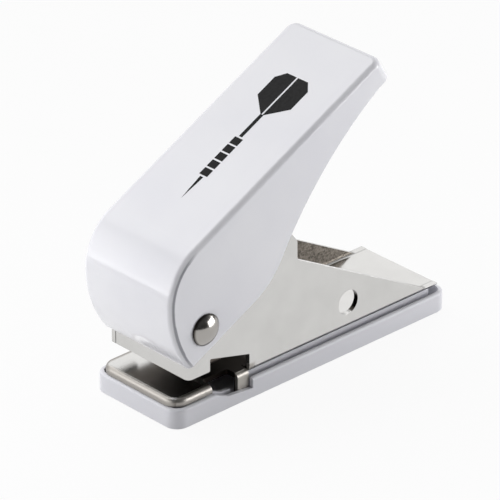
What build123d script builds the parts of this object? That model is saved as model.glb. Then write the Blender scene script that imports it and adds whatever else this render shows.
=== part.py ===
from build123d import *
import math
import os

# Hand punch for dart flights: a squeezed handle drives one round punch
# through a thin flight laid on the steel plate, and the chips fall in a tray.
#
# Millimetres. X is the width, Y the length with the mouth towards -Y, Z is up.
# The origin is the middle of the tray's flat bottom. Outlines seen from the
# side are written as (back, up): the distance behind the tray's front edge,
# and the height above the surface that the punch stands on.

# Chip tray, moulded plastic
TRAY_LENGTH = 105.0
TRAY_WIDTH = 34.0
TRAY_HEIGHT = 6.0
TRAY_WALL = 1.3
TRAY_FLOOR = 1.3
TRAY_CORNER = 4.2
TRAY_FOOT_BEVEL = 0.25
TRAY_RIM_ROUND = 0.8
RING_WALL = 1.2
RING_CLEARANCE = 0.25
RING_INNER_CORNER = 2.0
TRAY_RIB = 1.4
RIB_SHARES = (0.46, 0.64, 0.82)
WALL_DIP_START = 4.0
WALL_DIP_RUN = 4.6
WALL_DIP_END = 3.0
WALL_DIP_CORNER = 1.2

# Frame, folded from one nickel plated steel sheet
SHEET = 1.5
BEND_INNER = 1.0
PLATE_SETBACK = 0.8
PLATE_CORNER = 4.6
LIP_GAP = 0.1
LIP_DROP = 0.8
SIDE_GAP = 0.1
THROAT_HEIGHT = 4.8
THROAT_DEPTH = 22.8
HEAD_SETBACK = 5.8
HEAD_WALL = 8.1
HEAD_FRONT_HEIGHT = 19.5
HEAD_CORNER = 1.6
FRONT_WALL_HEIGHT = 9.5
SEAM_WIDTH = 0.25
WINDOW_RISE = 3.9
NOTCH_FRONT = 14.7
NOTCH_LENGTH = 9.5
NOTCH_DEPTH = 4.4
NOTCH_CORNER = 1.0
TAB_BOTTOM = 2.2
TAB_SLIT = 0.3
TAB_SLIT_DEPTH = 3.2
CORNER_ROUND = 0.4
STEP_ROUND = 1.6
EAR_LENGTH = 9.0
EAR_BEVEL = 5.4
EAR_STEP_TOP = 33.4
EAR_STEP_BOTTOM = 27.6
EAR_BACK = 46.6
EAR_ROUND = 3.0
EAR_STOP_GAP = 0.9
CHEEK_TIP = 0.15
TIP_RUN = 4.8
FRAME_END_INSET = 3.0
ANCHOR_DIAMETER = 7.5
ANCHOR_INSET = 35.7
ANCHOR_RISE = 7.1

# Pivot rivet with a thin washer under each side of the handle
PIVOT_INSET = 4.4
PIVOT_RISE = 15.4
RIVET_DIAMETER = 5.0
RIVET_HEAD = 9.4
RIVET_DOME = 2.4
RIVET_EDGE = 0.35
RIVET_CLOSED_HEAD = 8.4
RIVET_CLOSED_RISE = 1.5
RIVET_CLOSED_BEVEL = 0.6
SHAFT_CLEARANCE = 0.05
SIDE_CLEARANCE = 0.1
WASHER_THICKNESS = 1.0
WASHER_DIAMETER = 9.0

# Handle, pressed from one painted steel sheet
HANDLE_SHEET = 1.0
HANDLE_RISE_ANGLE = 26.7
PRESS_ANGLE = 30.0
CROWN_RADIUS = 17.4
NOSE_AHEAD = 12.6
NOSE_RISE = 9.7
CHIN_DROP = 10.4
STOP_GAP = 0.3
HANDLE_RUN = 77.0
TAIL_FLANGE = 7.5
TAIL_CORNER = 3.2
TAIL_FLARE_ANGLE = 4.0
TAIL_LIP_RUN = 5.0
TAIL_LIP_ROUND = 2.5
SHOULDER_ROUND = 1.7
BEVEL_SHARE = 0.586
CHIN_RUN = 26.6
WAIST_BACK = 28.5
WAIST_RISE = 11.5

# Drive lever inside the handle, pressed steel
LEVER_SHEET = 1.5
LEVER_GAP = 0.25
LEVER_NOSE = 2.5
LEVER_FLANGE = 14.0
LEVER_BOSS = 4.6
LEVER_GUSSET_SHARE = 0.4
LEVER_SEAT = 0.05

# Guide bracket inside the jaw, pressed steel
BRACKET_FIT = 0.05
BRACKET_BACK = 20.5
BRACKET_TOP = 6.4
BRACKET_SHOULDER = 7.0
BRACKET_ROUND = 4.0

# Punch, its guide bush, collar and die
PUNCH_ARM = 11.3
PUNCH_DIAMETER = 3.0
PUNCH_RETRACT = 0.6
PUNCH_HEAD_DIAMETER = 5.6
PUNCH_HEAD = 1.2
NOSE_GAP = 0.1
GUIDE_CLEARANCE = 0.05
BUSH_DIAMETER = 5.0
BUSH_HEIGHT = 7.0
BUSH_FLANGE_DIAMETER = 9.0
BUSH_FLANGE = 0.9
COLLAR_DIAMETER = 8.8
COLLAR_THICKNESS = 0.9
DIE_DIAMETER = 6.0
DIE_FLANGE_DIAMETER = 8.6
DIE_FLANGE = 1.0
DIE_CLEARANCE = 0.06
CHAMFER = 0.25

# Return spring, coiled from flat wire as die springs are
SPRING_WIRE_WIDTH = 1.1
SPRING_WIRE_THICKNESS = 0.5
SPRING_DIAMETER = 6.8
SPRING_TURNS = 5
SPRING_SEAT = 0.03
SPRING_SAMPLES = 48
QUARTERS = 4

# How far a cutting shape runs past what it cuts
OVERRUN = 2.0

# How closely an edge or a face must lie along a direction to count as on it
ALIGNED_SHARE = 0.9999
FACING_SHARE = 0.05

# Places worked out from the sizes above
FRAME_HALF = TRAY_WIDTH / 2 - TRAY_WALL - SIDE_GAP
CHANNEL_HALF = FRAME_HALF - SHEET
BEND_OUTER = BEND_INNER + SHEET
LIP_BOTTOM = TRAY_HEIGHT + LIP_GAP
PLATE_UNDER = LIP_BOTTOM + LIP_DROP
PLATE_TOP = PLATE_UNDER + SHEET
JAW_UNDER = PLATE_TOP + THROAT_HEIGHT
THROAT_BACK = HEAD_SETBACK + THROAT_DEPTH
NOTCH_BACK = NOTCH_FRONT + NOTCH_LENGTH
FRAME_END = TRAY_LENGTH - FRAME_END_INSET
PIVOT_BACK = HEAD_SETBACK + PIVOT_INSET
PIVOT_UP = JAW_UNDER + PIVOT_RISE
PUNCH_BACK = PIVOT_BACK + PUNCH_ARM
HANDLE_INNER_HALF = FRAME_HALF + SIDE_CLEARANCE + WASHER_THICKNESS + SIDE_CLEARANCE
HANDLE_HALF = HANDLE_INNER_HALF + HANDLE_SHEET
BRACKET_HALF = CHANNEL_HALF - BRACKET_FIT
BRACKET_FRONT = HEAD_SETBACK + SHEET + BRACKET_FIT
LEVER_HALF = BRACKET_HALF - SHEET - LEVER_GAP
HANDLE_RISE = math.radians(HANDLE_RISE_ANGLE)
TAIL_DROP = HANDLE_RISE - math.pi / 2 + math.radians(TAIL_FLARE_ANGLE)
PRESS = math.radians(PRESS_ANGLE)
RING_HALF = CHANNEL_HALF - RING_CLEARANCE
RING_FRONT = PLATE_SETBACK + SHEET + RING_CLEARANCE
RING_BACK = FRAME_END - RING_CLEARANCE
RING_TOP = PLATE_UNDER - LIP_GAP

# The lever's nose swings as far above the pivot as below it, so the punch
# moves in proportion to the handle's angle to within a few hundredths.
NOSE_REACH = PUNCH_ARM / math.cos(PRESS / 2)
NOSE_LIFT = NOSE_REACH * math.sin(PRESS / 2)
STROKE = NOSE_LIFT + NOSE_LIFT
HEAD_TOP = PIVOT_UP + NOSE_LIFT - LEVER_NOSE - NOSE_GAP
HEAD_UNDER = HEAD_TOP - PUNCH_HEAD
COLLAR_UNDER = HEAD_UNDER - COLLAR_THICKNESS
BUSH_SEAT = JAW_UNDER + SHEET + BUSH_FLANGE
PUNCH_TIP = JAW_UNDER + PUNCH_RETRACT


def along(back: float) -> float:
    """Y of a place given as its distance behind the tray's front edge."""
    return back - TRAY_LENGTH / 2


def block(half: float, front: float, back: float, low: float, high: float) -> Part:
    """A box centred across the width, from its limits along and up."""
    size = Box(half + half, back - front, high - low)
    return Pos(0, along((front + back) / 2), (low + high) / 2) * size


def side_block(inner: float, outer: float, front: float, back: float, low: float, high: float) -> Part:
    """A box between two places across the width."""
    size = Box(outer - inner, back - front, high - low)
    return Pos((inner + outer) / 2, along((front + back) / 2), (low + high) / 2) * size


def side_face(outline: Curve) -> Face:
    """An outline drawn as (back, up) stood up in the middle of the width."""
    return Pos(0, along(0), 0) * (Plane.YZ * make_face(outline))


def prism(outline: Curve, half: float) -> Part:
    """A side outline pushed out to both sides."""
    return extrude(side_face(outline), amount=half, both=True)


def cross_pin(diameter: float, half: float, back: float, up: float) -> Part:
    """A round bar across the width."""
    bar = Cylinder(diameter / 2, half + half, rotation=(0, 90, 0))
    return Pos(0, along(back), up) * bar


def upright(diameter: float, low: float, high: float, back: float) -> Part:
    """A round bar standing on the punch's line or another upright line."""
    return Pos(0, along(back), (low + high) / 2) * Cylinder(diameter / 2, high - low)


def edges_along(shape: Part, axis: Axis) -> ShapeList:
    """The straight edges that run one way."""
    return shape.edges().filter_by(GeomType.LINE).filter_by(axis)


def polar(start: tuple[float, float], reach: float, angle: float) -> tuple[float, float]:
    """The (back, up) place at a distance and an angle from another."""
    return (start[0] + reach * math.cos(angle), start[1] + reach * math.sin(angle))


# Chip tray


def rounded_slab(half: float, front: float, back: float, low: float, high: float, corner: float) -> Part:
    """A slab with rounded upright corners."""
    slab = block(half, front, back, low, high)
    return fillet(edges_along(slab, Axis.Z), corner)


def tray_shell() -> Part:
    """The open tray with its outer wall and the ring that enters the frame."""
    body = rounded_slab(TRAY_WIDTH / 2, 0, TRAY_LENGTH, 0, TRAY_HEIGHT, TRAY_CORNER)
    body = chamfer(body.faces().sort_by(Axis.Z)[0].edges(), TRAY_FOOT_BEVEL)
    body = fillet(body.faces().sort_by(Axis.Z)[-1].edges(), TRAY_RIM_ROUND)
    inner_corner = TRAY_CORNER - TRAY_WALL
    body -= rounded_slab(
        TRAY_WIDTH / 2 - TRAY_WALL, TRAY_WALL, TRAY_LENGTH - TRAY_WALL,
        TRAY_FLOOR, TRAY_HEIGHT + OVERRUN, inner_corner,
    )
    ring = rounded_slab(RING_HALF, RING_FRONT, RING_BACK, TRAY_FLOOR, RING_TOP, inner_corner)
    ring -= rounded_slab(
        RING_HALF - RING_WALL, RING_FRONT + RING_WALL, RING_BACK - RING_WALL,
        TRAY_FLOOR, RING_TOP + OVERRUN, RING_INNER_CORNER,
    )
    return body + ring


def tray_ribs() -> Part:
    """Cross ribs that carry the frame's floor and close off the chip well."""
    ribs = [
        block(RING_HALF - RING_WALL / 2, back, back + TRAY_RIB, TRAY_FLOOR, RING_TOP)
        for back in [share * TRAY_LENGTH for share in RIB_SHARES]
    ]
    return ribs[0] + ribs[1:]


def wall_dip() -> Part:
    """What is cut from the wall beside the frame's notch and tab."""
    top = TRAY_HEIGHT + OVERRUN
    outline = FilletPolyline(
        [
            (NOTCH_FRONT, top),
            (NOTCH_FRONT, TRAY_HEIGHT),
            (NOTCH_FRONT + WALL_DIP_RUN, WALL_DIP_START),
            (THROAT_BACK, WALL_DIP_END),
            (THROAT_BACK, top),
        ],
        radius=[0, WALL_DIP_CORNER, WALL_DIP_CORNER, 0, 0],
        close=True,
    )
    return prism(outline, TRAY_WIDTH)


def base_tray() -> Part:
    tray = tray_shell() + tray_ribs()
    keep = block(FRAME_HALF - NOTCH_DEPTH, 0, TRAY_LENGTH, 0, TRAY_HEIGHT + OVERRUN)
    return tray - (wall_dip() - keep)


# Frame


def cheek_outline() -> Curve:
    """The frame from the side: jaw, throat, ear, and the slope to the tail."""
    delta = PRESS - HANDLE_RISE
    ear_front = EAR_BACK - EAR_BEVEL - EAR_LENGTH
    ear_reach = EAR_BACK - EAR_BEVEL - PIVOT_BACK
    ear_rise = (handle_depth() - HANDLE_SHEET - ear_reach * math.sin(delta)) / math.cos(delta)
    ear_top = PIVOT_UP + ear_rise - EAR_STOP_GAP
    corners = [
        (THROAT_BACK, PLATE_UNDER, 0),
        (THROAT_BACK, JAW_UNDER, 0),
        (HEAD_SETBACK + HEAD_WALL, JAW_UNDER + WINDOW_RISE, CORNER_ROUND),
        (HEAD_SETBACK + HEAD_WALL, JAW_UNDER, CORNER_ROUND),
        (HEAD_SETBACK, JAW_UNDER, 0),
        (HEAD_SETBACK, JAW_UNDER + HEAD_FRONT_HEIGHT, EAR_ROUND),
        (ear_front, ear_top, EAR_ROUND),
        (EAR_BACK - EAR_BEVEL, ear_top, EAR_ROUND),
        (EAR_BACK, PLATE_TOP + EAR_STEP_TOP, STEP_ROUND),
        (EAR_BACK, PLATE_TOP + EAR_STEP_BOTTOM, STEP_ROUND),
        (FRAME_END - TIP_RUN, PLATE_TOP + CHEEK_TIP, EAR_ROUND),
        (FRAME_END, PLATE_TOP + CHEEK_TIP, 0),
        (FRAME_END, PLATE_UNDER, 0),
    ]
    return FilletPolyline([(back, up) for back, up, _ in corners], radius=[r for *_, r in corners], close=True)


def folded_channel() -> Part:
    """Floor, cheeks and front wall of the frame before the side is cut out."""
    top = PIVOT_UP + CROWN_RADIUS + CROWN_RADIUS
    sheet = block(FRAME_HALF, HEAD_SETBACK, FRAME_END, PLATE_UNDER, top)
    outer = fillet(sheet.faces().sort_by(Axis.Z)[0].edges().filter_by(Axis.Y), BEND_OUTER)
    outer &= fillet(edges_along(sheet, Axis.Z).group_by(Axis.Y)[0].sort_by(Axis.X)[-1], HEAD_CORNER)
    inner = block(CHANNEL_HALF, HEAD_SETBACK + SHEET, FRAME_END + OVERRUN, PLATE_TOP, top + OVERRUN)
    inner = fillet(inner.faces().sort_by(Axis.Z)[0].edges().filter_by(Axis.Y), BEND_INNER)
    return outer - inner


def die_plate() -> Part:
    """The plate under the jaw, its edge turned down and rounded on top."""
    back = THROAT_BACK + BEND_OUTER
    skin = block(FRAME_HALF, PLATE_SETBACK, back, TAB_BOTTOM, PLATE_TOP)
    skin = fillet(edges_along(skin, Axis.Z).group_by(Axis.Y)[0], PLATE_CORNER)
    rim = skin.faces().sort_by(Axis.Z)[-1].edges() - skin.faces().sort_by(Axis.Y)[-1].edges()
    skin = fillet(rim, SHEET)
    hollow = block(CHANNEL_HALF, PLATE_SETBACK + SHEET, back + OVERRUN, 0, PLATE_UNDER)
    hollow = fillet(edges_along(hollow, Axis.Z).group_by(Axis.Y)[0], PLATE_CORNER - SHEET)
    plate = skin - hollow
    plate -= block(FRAME_HALF + OVERRUN, 0, NOTCH_BACK, 0, LIP_BOTTOM)
    slit_front = THROAT_BACK - TAB_SLIT
    for side in (1, -1):
        limits = sorted((side * (FRAME_HALF - NOTCH_DEPTH), side * (FRAME_HALF + OVERRUN)))
        notch = side_block(*limits, NOTCH_FRONT, NOTCH_BACK, 0, PLATE_TOP + OVERRUN)
        inner_edges = edges_along(notch, Axis.Z).sort_by(lambda edge: abs((edge @ 0).X))[:2]
        plate -= fillet(inner_edges, NOTCH_CORNER)
        limits = sorted((side * (FRAME_HALF - TAB_SLIT_DEPTH), side * (FRAME_HALF + OVERRUN)))
        plate -= side_block(*limits, slit_front, back + OVERRUN, 0, PLATE_TOP + OVERRUN)
    return plate


def frame() -> Part:
    body = folded_channel() & prism(cheek_outline(), FRAME_HALF + OVERRUN)
    body += die_plate()
    body -= upright(DIE_DIAMETER, PLATE_UNDER - OVERRUN, PLATE_TOP + OVERRUN, PUNCH_BACK)
    body -= cross_pin(RIVET_DIAMETER, FRAME_HALF + OVERRUN, PIVOT_BACK, PIVOT_UP)
    body -= cross_pin(
        ANCHOR_DIAMETER, FRAME_HALF + OVERRUN, FRAME_END - ANCHOR_INSET, PLATE_TOP + ANCHOR_RISE
    )
    wall_top = JAW_UNDER + FRONT_WALL_HEIGHT
    seam_edge = SEAM_WIDTH - CHANNEL_HALF
    wall_back = HEAD_SETBACK + SHEET
    body -= side_block(-CHANNEL_HALF, seam_edge, 0, wall_back, JAW_UNDER - OVERRUN, wall_top + OVERRUN)
    return body - block(CHANNEL_HALF, 0, wall_back, wall_top, PIVOT_UP + CROWN_RADIUS)


def guide_bracket() -> Part:
    """U shaped bracket that closes the jaw underneath and holds the bush."""
    back = BRACKET_FRONT + BRACKET_BACK
    top = PIVOT_UP + BRACKET_TOP
    outer = block(BRACKET_HALF, BRACKET_FRONT, back, JAW_UNDER, top)
    outer = fillet(outer.faces().sort_by(Axis.Z)[0].edges().filter_by(Axis.Y), BEND_OUTER)
    half = BRACKET_HALF - SHEET
    inner = block(half, BRACKET_FRONT - OVERRUN, back + OVERRUN, JAW_UNDER + SHEET, top + OVERRUN)
    inner = fillet(inner.faces().sort_by(Axis.Z)[0].edges().filter_by(Axis.Y), BEND_INNER)
    side = FilletPolyline(
        [
            (BRACKET_FRONT, JAW_UNDER),
            (back, JAW_UNDER),
            (back, JAW_UNDER + BRACKET_SHOULDER),
            (PIVOT_BACK + BRACKET_TOP, top),
            (BRACKET_FRONT, top),
        ],
        radius=[0, 0, BRACKET_ROUND, BRACKET_ROUND, SHEET],
        close=True,
    )
    body = (outer - inner) & prism(side, BRACKET_HALF + OVERRUN)
    body -= upright(BUSH_DIAMETER, JAW_UNDER - OVERRUN, JAW_UNDER + SHEET + OVERRUN, PUNCH_BACK)
    body -= cross_pin(RIVET_DIAMETER, BRACKET_HALF + OVERRUN, PIVOT_BACK, PIVOT_UP)
    return body


# Punch and die


def guide_bush() -> Part:
    seat = JAW_UNDER + SHEET
    body = upright(BUSH_DIAMETER, JAW_UNDER, seat + BUSH_HEIGHT - SHEET, PUNCH_BACK)
    body = chamfer(body.faces().sort_by(Axis.Z)[-1].edges(), CHAMFER)
    body += upright(BUSH_FLANGE_DIAMETER, seat, BUSH_SEAT, PUNCH_BACK)
    bore = PUNCH_DIAMETER + GUIDE_CLEARANCE + GUIDE_CLEARANCE
    return body - upright(bore, JAW_UNDER - OVERRUN, HEAD_TOP, PUNCH_BACK)


def die_button() -> Part:
    """Flanged ring, pressed into the die plate from below."""
    bottom = PLATE_UNDER - DIE_FLANGE
    body = upright(DIE_DIAMETER, bottom, PLATE_TOP, PUNCH_BACK)
    body += upright(DIE_FLANGE_DIAMETER, bottom, PLATE_UNDER, PUNCH_BACK)
    hole = PUNCH_DIAMETER + DIE_CLEARANCE + DIE_CLEARANCE
    return body - upright(hole, bottom - OVERRUN, PLATE_TOP + OVERRUN, PUNCH_BACK)


def punch_pin() -> Part:
    shank = upright(PUNCH_DIAMETER, PUNCH_TIP, HEAD_TOP, PUNCH_BACK)
    head = upright(PUNCH_HEAD_DIAMETER, HEAD_UNDER, HEAD_TOP, PUNCH_BACK)
    head = chamfer(head.faces().sort_by(Axis.Z)[-1].edges(), CHAMFER)
    return shank + head


def spring_collar() -> Part:
    ring = upright(COLLAR_DIAMETER, COLLAR_UNDER, HEAD_UNDER, PUNCH_BACK)
    ring = chamfer(ring.edges().filter_by(GeomType.CIRCLE), CHAMFER)
    bore = PUNCH_DIAMETER + GUIDE_CLEARANCE + GUIDE_CLEARANCE
    return ring - upright(bore, COLLAR_UNDER - OVERRUN, HEAD_TOP, PUNCH_BACK)


def helix_place(radius: float, rise: float, turn: float) -> tuple[Vector, Vector]:
    """Place and direction on a coil after so many turns, each rising alike."""
    angle = math.tau * turn
    place = Vector(radius * math.cos(angle), radius * math.sin(angle), rise * turn)
    run = Vector(-radius * math.sin(angle), radius * math.cos(angle), rise / math.tau)
    return place, run.normalized()


def biarc(start: tuple[Vector, Vector], end: tuple[Vector, Vector]) -> list[Edge]:
    """Two arcs that join two places and keep the direction at both."""
    (first, leave), (last, arrive) = start, end
    span = last - first
    both = leave + arrive
    spread = 2 * (1 - leave.dot(arrive))
    reach = (math.sqrt(span.dot(both) ** 2 + spread * span.dot(span)) - span.dot(both)) / spread
    middle = (first + leave * reach + last - arrive * reach) / 2
    turn = (last - arrive * reach) - (first + leave * reach)
    return [TangentArc(first, middle, tangent=leave), TangentArc(middle, last, tangent=turn)]


def coil_wire(radius: float, rise: float, turns: float) -> Wire:
    """A coil drawn as two arcs for each quarter turn."""
    quarters = round(turns * QUARTERS)
    places = [helix_place(radius, rise, step / QUARTERS) for step in range(quarters + 1)]
    arcs = [arc for start, end in zip(places, places[1:]) for arc in biarc(start, end)]
    return Wire(arcs)


def report_coil_gap(wire: Wire) -> None:
    """Print the least gap between one turn of the coil and the next."""
    turn = wire.length / SPRING_TURNS
    steps = [step * turn / SPRING_SAMPLES for step in range(SPRING_SAMPLES * SPRING_TURNS + 1)]
    places = [wire.position_at(step, position_mode=PositionMode.LENGTH) for step in steps]
    least = min(
        (place - other).length
        for index, place in enumerate(places)
        for other in places[index + SPRING_SAMPLES // 2:]
    )
    print("least gap between turns", round(least - SPRING_WIRE_THICKNESS, 2))


def return_spring() -> Part:
    """Open coil of flat wire, swept in one unbroken run."""
    low = BUSH_SEAT + SPRING_SEAT + SPRING_WIRE_THICKNESS / 2
    high = COLLAR_UNDER - SPRING_SEAT - SPRING_WIRE_THICKNESS / 2
    rise = (high - low) / SPRING_TURNS
    wire = coil_wire(SPRING_DIAMETER / 2, rise, SPRING_TURNS)
    report_coil_gap(wire)
    path = Pos(0, along(PUNCH_BACK), low) * wire
    start = Plane(origin=path @ 0, x_dir=(1, 0, 0), z_dir=path % 0)
    spring = sweep(start * Rectangle(SPRING_WIRE_WIDTH, SPRING_WIRE_THICKNESS), path=path)
    ideal = SPRING_WIRE_WIDTH * SPRING_WIRE_THICKNESS * path.length
    print("spring volume over section times length", round(spring.volume / ideal, 4))
    return spring


# Pivot


def pivot_rivet() -> Part:
    """Domed head, shank and the flat head that closes it, turned about their own axis."""
    shoulder = HANDLE_HALF + SIDE_CLEARANCE
    edge = shoulder + RIVET_EDGE
    apex = shoulder + RIVET_DOME
    shank = RIVET_DIAMETER / 2
    rim = RIVET_HEAD / 2
    rise = apex - edge
    sphere = (rim**2 + rise**2) / rise / 2
    slant = math.asin(rim / sphere) / 2
    crown = (apex - sphere + sphere * math.cos(slant), sphere * math.sin(slant))
    closed = RIVET_CLOSED_HEAD / 2
    end = shoulder + RIVET_CLOSED_RISE
    outline = ThreePointArc((apex, 0), crown, (edge, rim)) + Polyline(
        (edge, rim), (shoulder, rim), (shoulder, shank), (-shoulder, shank), (-shoulder, closed),
        (RIVET_CLOSED_BEVEL - end, closed), (-end, closed - RIVET_CLOSED_BEVEL), (-end, 0), (apex, 0),
    )
    return Pos(0, along(PIVOT_BACK), PIVOT_UP) * revolve(make_face(outline), Axis.X)


def pivot_washer(side: int) -> Part:
    middle = FRAME_HALF + SIDE_CLEARANCE + WASHER_THICKNESS / 2
    ring = Cylinder(WASHER_DIAMETER / 2, WASHER_THICKNESS, rotation=(0, 90, 0))
    washer = Pos(side * middle, along(PIVOT_BACK), PIVOT_UP) * ring
    bore = RIVET_DIAMETER + SHAFT_CLEARANCE + SHAFT_CLEARANCE
    return washer - cross_pin(bore, HANDLE_HALF, PIVOT_BACK, PIVOT_UP)


# Handle


def crown_centre() -> tuple[float, float]:
    """Centre of the arc that joins the nose to the flat top."""
    return (PIVOT_BACK - NOSE_AHEAD + CROWN_RADIUS, PIVOT_UP + NOSE_RISE)


def handle_depth() -> float:
    """Distance of the flat top's outer face from the pivot's axis."""
    back, up = crown_centre()
    above = (up - PIVOT_UP) * math.cos(HANDLE_RISE) - (back - PIVOT_BACK) * math.sin(HANDLE_RISE)
    return above + CROWN_RADIUS


def chin_point() -> tuple[float, float]:
    """Lowest front corner of the handle, which stops on the frame's front."""
    return (HEAD_SETBACK - STOP_GAP - HANDLE_SHEET, PIVOT_UP - CHIN_DROP)


def tail_corner() -> tuple[float, float]:
    """Where the flat top meets the handle's end."""
    start = polar(crown_centre(), CROWN_RADIUS, HANDLE_RISE + math.pi / 2)
    return polar(start, HANDLE_RUN, HANDLE_RISE)


def handle_blank(inset: float) -> Part:
    """Solid under the handle's skin, drawn in by the inset on every side.

    The inner shoulder is a bevel as deep as a round one would be, so the sheet
    keeps its thickness there.
    """
    centre = crown_centre()
    chin = chin_point()
    nose = centre[0] - CROWN_RADIUS
    drop = centre[1] - chin[1]
    chin_radius = (drop**2 + (chin[0] - nose) ** 2) / (chin[0] - nose) / 2
    chin_centre = (nose + chin_radius, centre[1])
    low_angle = math.pi + math.asin(drop / chin_radius) + OVERRUN / chin_radius
    crown_end = HANDLE_RISE + math.pi / 2
    low = polar(chin_centre, chin_radius - inset, low_angle)
    chin_mid = polar(chin_centre, chin_radius - inset, (math.pi + low_angle) / 2)
    nose_point = (nose + inset, centre[1])
    crown_mid = polar(centre, CROWN_RADIUS - inset, (math.pi + crown_end) / 2)
    top_front = polar(centre, CROWN_RADIUS - inset, crown_end)
    shift = inset * math.tan((HANDLE_RISE - TAIL_DROP) / 2)
    corner = polar(polar(tail_corner(), inset, crown_end + math.pi), shift, HANDLE_RISE + math.pi)
    corner_low = polar(corner, (corner[1] - low[1]) / -math.sin(TAIL_DROP), TAIL_DROP)
    outline = (
        ThreePointArc(low, chin_mid, nose_point)
        + ThreePointArc(nose_point, crown_mid, top_front)
        + Polyline(top_front, corner, corner_low, low)
    )
    blank = prism(outline, HANDLE_HALF - inset)
    ends = [edge for edge in blank.edges() if runs_at(edge, TAIL_DROP)]
    blank = fillet(ends, TAIL_CORNER - inset)
    shoulders = skin_edges(blank, low[1])
    if inset:
        return chamfer(shoulders, (SHOULDER_ROUND - inset) * BEVEL_SHARE)
    return fillet(shoulders, SHOULDER_ROUND)


def runs_at(edge: Edge, angle: float) -> bool:
    """Whether an edge lies at an angle in the side view."""
    run = edge % 0.5
    return abs(run.Y * math.cos(angle) + run.Z * math.sin(angle)) > ALIGNED_SHARE


def skin_edges(blank: Part, low: float) -> list[Edge]:
    """The edges round the top, crown and nose that the press leaves rounded."""
    found: dict[tuple[float, ...], list[Edge]] = {}
    for face in filter(is_skin, blank.faces()):
        for edge in face.edges():
            found.setdefault(tuple(round(part, 2) for part in edge @ 0.5), []).append(edge)
    lone = [edges[0] for edges in found.values() if len(edges) == 1]
    return [edge for edge in lone if (edge @ 0.5).Z > low + SHEET / 2]


def is_skin(face: Face) -> bool:
    """Whether a face of the blank is its top, crown or nose."""
    normal = face.normal_at(face.center())
    facing = normal.Z * math.cos(HANDLE_RISE) - normal.Y * math.sin(HANDLE_RISE)
    return abs(normal.X) < FACING_SHARE and facing > FACING_SHARE


def kept_side() -> Face:
    """The side region that the press tool leaves: chin, waist and tail."""
    chin = chin_point()
    below_start = polar(chin, OVERRUN + OVERRUN, HANDLE_RISE + math.pi)
    chin_end = polar(chin, CHIN_RUN, HANDLE_RISE)
    waist = (PIVOT_BACK + WAIST_BACK, PIVOT_UP + WAIST_RISE)
    corner = tail_corner()
    foot = polar(corner, TAIL_FLANGE, TAIL_DROP)
    beyond = polar(foot, OVERRUN, HANDLE_RISE)
    lip = polar(foot, TAIL_LIP_RUN, HANDLE_RISE + math.pi)
    ceiling = corner[1] + OVERRUN
    front = chin[0] - NOSE_AHEAD
    first = TangentArc(chin_end, waist, tangent=(math.cos(HANDLE_RISE), math.sin(HANDLE_RISE)))
    second = TangentArc(waist, lip, tangent=first % 1)
    edge = Line(below_start, chin_end) + first + second
    rest = Polyline(
        lip, beyond, (beyond[0], ceiling), (front, ceiling), (front, below_start[1]), below_start
    )
    region = make_face(edge + rest)
    return fillet(region.vertices().sort_by_distance(Vector(*lip))[0], TAIL_LIP_ROUND)


def handle() -> Part:
    shell = handle_blank(0) - handle_blank(HANDLE_SHEET)
    kept = Pos(0, along(0), 0) * (Plane.YZ * kept_side())
    body = shell & extrude(kept, amount=HANDLE_HALF + OVERRUN, both=True)
    hole = RIVET_DIAMETER + SHAFT_CLEARANCE + SHAFT_CLEARANCE
    return body - cross_pin(hole, HANDLE_HALF + OVERRUN, PIVOT_BACK, PIVOT_UP)


def drive_lever() -> Part:
    """Lever welded under the handle's top, with a round nose over the punch."""
    pivot = (PIVOT_BACK, PIVOT_UP)
    ceiling = handle_depth() - HANDLE_SHEET - LEVER_SEAT
    along_top = HANDLE_RISE
    across = HANDLE_RISE + math.pi / 2

    def place(run: float, rise: float) -> tuple[float, float]:
        return polar(polar(pivot, run, along_top), rise, across)

    nose_run = NOSE_REACH * math.cos(PRESS / 2 - HANDLE_RISE)
    nose_rise = NOSE_REACH * math.sin(PRESS / 2 - HANDLE_RISE)
    web_back = nose_run + LEVER_SHEET / 2
    flange_end = web_back + LEVER_FLANGE
    gusset = ceiling * LEVER_GUSSET_SHARE
    web = prism(
        Polyline(
            place(nose_run - LEVER_SHEET / 2, nose_rise), place(web_back, nose_rise),
            place(web_back, ceiling - LEVER_SHEET), place(flange_end, ceiling - LEVER_SHEET),
            place(flange_end, ceiling), place(nose_run - LEVER_SHEET / 2, ceiling), close=True,
        ),
        LEVER_HALF,
    )
    nose = cross_pin(LEVER_NOSE + LEVER_NOSE, LEVER_HALF, *place(nose_run, nose_rise))
    leg = prism(
        FilletPolyline(
            [
                place(-LEVER_BOSS, -LEVER_BOSS), place(LEVER_BOSS, -LEVER_BOSS),
                place(nose_run + LEVER_NOSE, nose_rise - LEVER_NOSE / 2),
                place(nose_run + LEVER_NOSE, gusset),
                place(flange_end, ceiling - LEVER_SHEET), place(flange_end, ceiling),
                place(nose_run - LEVER_SHEET / 2, ceiling), place(-LEVER_BOSS, LEVER_BOSS),
            ],
            radius=[LEVER_BOSS - SHEET, LEVER_BOSS - SHEET, LEVER_SHEET, LEVER_BOSS, 0, 0, 0, LEVER_BOSS],
            close=True,
        ),
        LEVER_HALF,
    )
    leg -= block(
        LEVER_HALF - LEVER_SHEET, PIVOT_BACK - CROWN_RADIUS, PIVOT_BACK + HANDLE_RUN,
        JAW_UNDER, PIVOT_UP + HANDLE_RUN,
    )
    hole = RIVET_DIAMETER + SHAFT_CLEARANCE + SHAFT_CLEARANCE
    return web + nose + leg - cross_pin(hole, HANDLE_HALF, PIVOT_BACK, PIVOT_UP)


def pivot_washer_right() -> Part:
    return pivot_washer(1)


def pivot_washer_left() -> Part:
    return pivot_washer(-1)


PARTS = (
    base_tray,
    frame,
    guide_bracket,
    guide_bush,
    die_button,
    punch_pin,
    spring_collar,
    return_spring,
    drive_lever,
    handle,
    pivot_rivet,
    pivot_washer_right,
    pivot_washer_left,
)

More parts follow.
